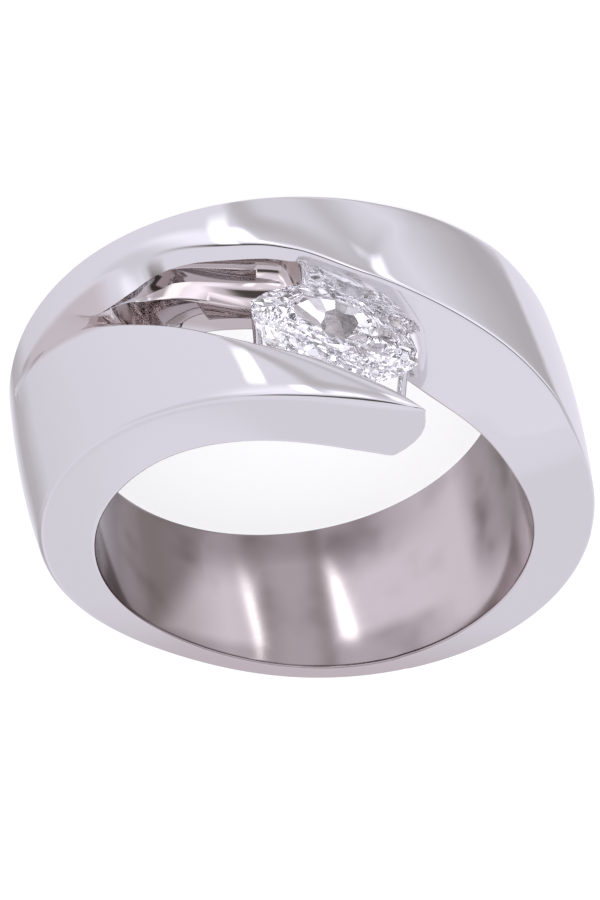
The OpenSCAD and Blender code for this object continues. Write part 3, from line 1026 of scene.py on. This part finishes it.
back_dir = Vector((0, -math.cos(CAMERA_TILT), math.sin(CAMERA_TILT)))
level_right = Vector((1, 0, 0))
level_up = back_dir.cross(level_right)
right_dir = level_right * math.cos(CAMERA_ROLL) + level_up * math.sin(CAMERA_ROLL)
up_dir = level_up * math.cos(CAMERA_ROLL) - level_right * math.sin(CAMERA_ROLL)
stand = right_dir * CAMERA_RIGHT + up_dir * CAMERA_UP + back_dir * CAMERA_AWAY
axes = [lying(v, is_place=False) for v in (right_dir, up_dir, back_dir)]
camera_data = bpy.data.cameras.new("camera")
camera = bpy.data.objects.new("camera", camera_data)
bpy.context.scene.collection.objects.link(camera)
camera_data.sensor_width = 36
camera_data.lens = camera_data.sensor_width * FOCAL_PIXELS / IMAGE_H
camera_data.clip_start, camera_data.clip_end = 0.005, 20
camera.matrix_world = Matrix.Translation(lying(stand) * MM) @ Matrix(axes).transposed().to_4x4()
bpy.context.scene.camera = camera
print("Camera above the floor by %.1f degrees" % math.degrees(math.asin(axes[2].z)))

# %% [markdown]
# Lamps
# A photographer moves a lamp until its reflection falls where it is wanted. Here a ray from the
# camera to each corner of the wanted highlight is mirrored in the metal instead, and the lamp's
# corner is put a little way along it. Only the metal sees the lamps.

# %% Lamps for the highlights
# over what share of a lamp each of its edges fades out
LAMP_SOFT = 0.3
# corners of each highlight in the picture, in pixels from its upper left corner, its brightness and
# how far from the metal the lamp stands, in millimetres
HIGHLIGHTS = {
    "lamp_hole_left": ([(231, 549), (243, 549), (264, 658), (245, 658)], 2.6, 12),
    "lamp_hole_right": ([(318, 546), (331, 546), (367, 658), (346, 658)], 3.0, 12),
    "lamp_front_arm": ([(222, 344), (246, 347), (272, 388), (248, 388)], 1.7, 9)}
metal = BVHTree.FromPolygons([v.co for v in band.data.vertices], [p.vertices for p in band.data.polygons])


def mirrored(x, y, away):
    """Where a lamp must stand to be seen in the metal at this place in the picture."""
    across, down = (x - IMAGE_W / 2) / FOCAL_PIXELS, (y - IMAGE_H / 2) / FOCAL_PIXELS
    sight = (axes[0] * across - axes[1] * down - axes[2]).normalized()
    spot, normal, _, _ = metal.ray_cast(lying(stand) * MM, sight)
    return spot + sight.reflect(normal) * away * MM


def lamp_material(name, strength):
    """A glow that fades out softly towards the lamp's four edges."""
    material, tree, shader = new_material(name, {
        "Base Color": (0, 0, 0, 1), "Emission Color": (0.95, 0.97, 1, 1), "Emission Strength": strength})
    sheet = tree.node("ShaderNodeSeparateXYZ", tree.node("ShaderNodeTexCoord").outputs["UV"])
    tree.put(shader.inputs["Alpha"], tree.product(
        *[tree.step(sheet.outputs[axis], *ends) for axis in (0, 1)
          for ends in ((0, LAMP_SOFT), (1, 1 - LAMP_SOFT))]))
    return material


for name, (corners, strength, away) in HIGHLIGHTS.items():
    lamp = primitive(name, bpy.ops.mesh.primitive_plane_add, size=1)
    for k, (x, y) in zip((0, 1, 3, 2), corners):
        lamp.data.vertices[k].co = mirrored(x, y, away)
    lamp.data.materials.append(lamp_material(name, strength))
    lamp.visible_camera = lamp.visible_diffuse = lamp.visible_transmission = lamp.visible_shadow = False
    print(name, "at", [round(c / MM) for c in lamp.data.vertices[0].co], "mm")

# %% [markdown]
# The white tent
# A jewel is photographed in a tent of white cloth, because a mirror finish shows only what is round
# it. The tent could be a dome. A world shader does the same with less noise: a colour ramp sets how
# bright the cloth is all round, and higher up it is evenly bright.

# %% Brightness of the tent all round
# azimuth from the stone in degrees, counterclockwise from above: how bright the tent is there
TENT = {
    -180: 0.95, -115: 0.95, -103: 0.75, -94: 0.56, -84: 0.56, -67: 0.68, -52: 0.86, -42: 0.98,
    -32: 0.88, -20: 0.66, 0: 0.66, 9: 0.62, 13: 0.66, 17: 0.98, 60: 0.97, 100: 0.92, 131: 0.84,
    146: 0.6, 156: 0.55, 172: 0.9}
# the evenly bright cloth, and the heights between which it sets in
EVEN_CLOTH, EVEN_FROM = (0.95, 0.95, 0.95, 1), (0.05, 0.35)
world = bpy.data.worlds.new("tent")
bpy.context.scene.world = world
world.use_nodes = True
tent = Wiring(world.node_tree)
direction = tent.node("ShaderNodeTexCoord").outputs["Generated"]
from_right, from_back, height = tent.node("ShaderNodeSeparateXYZ", direction).outputs
azimuth = tent.maths("ARCTAN2", from_right, tent.product(from_back, -1))
azimuth = tent.product(azimuth, 180 / math.pi)
all_azimuths = tent.node("ShaderNodeValToRGB", tent.maths("ADD", tent.maths("DIVIDE", azimuth, 360), 0.5))
ramp = all_azimuths.color_ramp
ramp.interpolation = "LINEAR"
while len(ramp.elements) < len(TENT):
    ramp.elements.new(0.5)
for stop, (degrees, value) in zip(ramp.elements, sorted(TENT.items())):
    stop.position = degrees / 360 + 0.5
    stop.color = (value, value, value, 1)
level = tent.blend(tent.step(height, *EVEN_FROM), all_azimuths.outputs["Color"], EVEN_CLOTH)
print("Tent:", len(ramp.elements), "places all round")

# %% [markdown]
# Brighter and darker parts of the tent
# A real tent has folds, an opening for the camera, and lamps behind its cloth. Each part here is a
# window in azimuth and height, with soft sides, in which the cloth is brighter or darker.

# %% Parts of the tent
def window(value, rise, fall):
    """1 between two soft sides, each given as two numbers that the change runs between."""
    return tent.product(tent.step(value, *rise), tent.step(value, *fall, 1, 0))


facing = window(azimuth, (-92, -62), (36, 56))
left_side = window(azimuth, (28, 48), (78, 100))
by_the_stone = window(azimuth, (-24, -8), (2, 11))
behind = tent.maths("SUBTRACT", 1, window(azimuth, (-130, -110), (110, 130)))
# what share of the light a part takes away or adds, its azimuths, and the sides of its height
PARTS = [(-0.9, facing, (0.44, 0.53), (0.63, 0.69)), (0.3, facing, (-0.22, 0.05), (0.36, 0.44)),
         (-0.12, left_side, (0.0, 0.25), (0.52, 0.66)), (0.3, by_the_stone, (-1.2, -1.1), (-0.44, -0.24)),
         (-0.08, behind, (0.4, 0.5), (0.8, 1.0)), (0.05, facing, (0.86, 1.0), (1.5, 1.6))]
for extra, side, rise, fall in PARTS:
    part = tent.product(side, window(height, rise, fall), extra)
    level = tent.product(level, tent.maths("ADD", part, 1))
print("Parts of the tent:", len(PARTS))

# %% [markdown]
# Sparkle of the stone
# Through its facets a stone shows the room in small bits, some bright and some dark, and a plain
# white tent would leave it flat. So rays that come through the stone see the tent broken up by
# noise, and the metal goes on seeing it whole.

# %% Bits of the room for the stone
# scale and detail of the bits, the noise where they turn from dark to bright, and how bright they are
BITS, BITS_TURN, BITS_BRIGHT = (3.2, 2), (0.4, 0.54), (0.35, 1.75)
through = tent.node("ShaderNodeLightPath").outputs["Is Transmission Ray"]
sparkle = tent.maths("SUBTRACT", tent.step(tent.noise(direction, *BITS), *BITS_TURN, *BITS_BRIGHT), 1)
level = tent.product(level, tent.maths("ADD", tent.product(sparkle, through), 1))
print("Bits seen through the stone: %.2f to %.2f as bright as the tent" % BITS_BRIGHT)

# %% [markdown]
# Seams and colour of the tent
# Where the tent's cloth is sewn or lit from close by, it draws bright upright bands in the outside
# of both arms. The cloth itself is a cool white, and its shaded parts are warmer.

# %% Seams and colour
# azimuth, half width and brightness of the tent's seams, and the heights they start and end at
SEAMS = [(18, 4.5, 1.1, (-0.18, -0.06), (0.2, 0.32)), (-25, 7, 0.8, (-0.46, -0.38), (-0.1, 0.1)),
         (2, 12, 0.6, (-0.05, 0.1), (0.28, 0.4))]
# what share of a seam is fully bright
SEAM_CORE = 0.3
SHADED_CLOTH, LIT_CLOTH = (1.0, 0.93, 0.92, 1), (0.885, 0.865, 0.97, 1)
for at, half, extra, rise, fall in SEAMS:
    off = tent.maths("ABSOLUTE", tent.maths("SUBTRACT", azimuth, at))
    seam = tent.product(tent.step(off, half * SEAM_CORE, half, extra, 0), window(height, rise, fall))
    level = tent.maths("ADD", level, seam)
sky = world.node_tree.nodes["Background"]
tent.put(sky.inputs["Color"], tent.blend(level, SHADED_CLOTH, LIT_CLOTH))
tent.put(sky.inputs["Strength"], level)
print("Seams of the tent:", len(SEAMS))

# %% [markdown]
# How the picture is made
# The colours are shown as they are, without a film's curve, because the paper has to stay white.
# Light goes round many times inside a cut stone before it leaves, so rays may bounce often.

# %% Picture
BOUNCES = 24
bpy.context.scene.view_settings.view_transform = "Standard"
for kind in ("max_bounces", "transmission_bounces", "glossy_bounces"):
    setattr(bpy.context.scene.cycles, kind, BOUNCES)
print("Bounces:", BOUNCES)
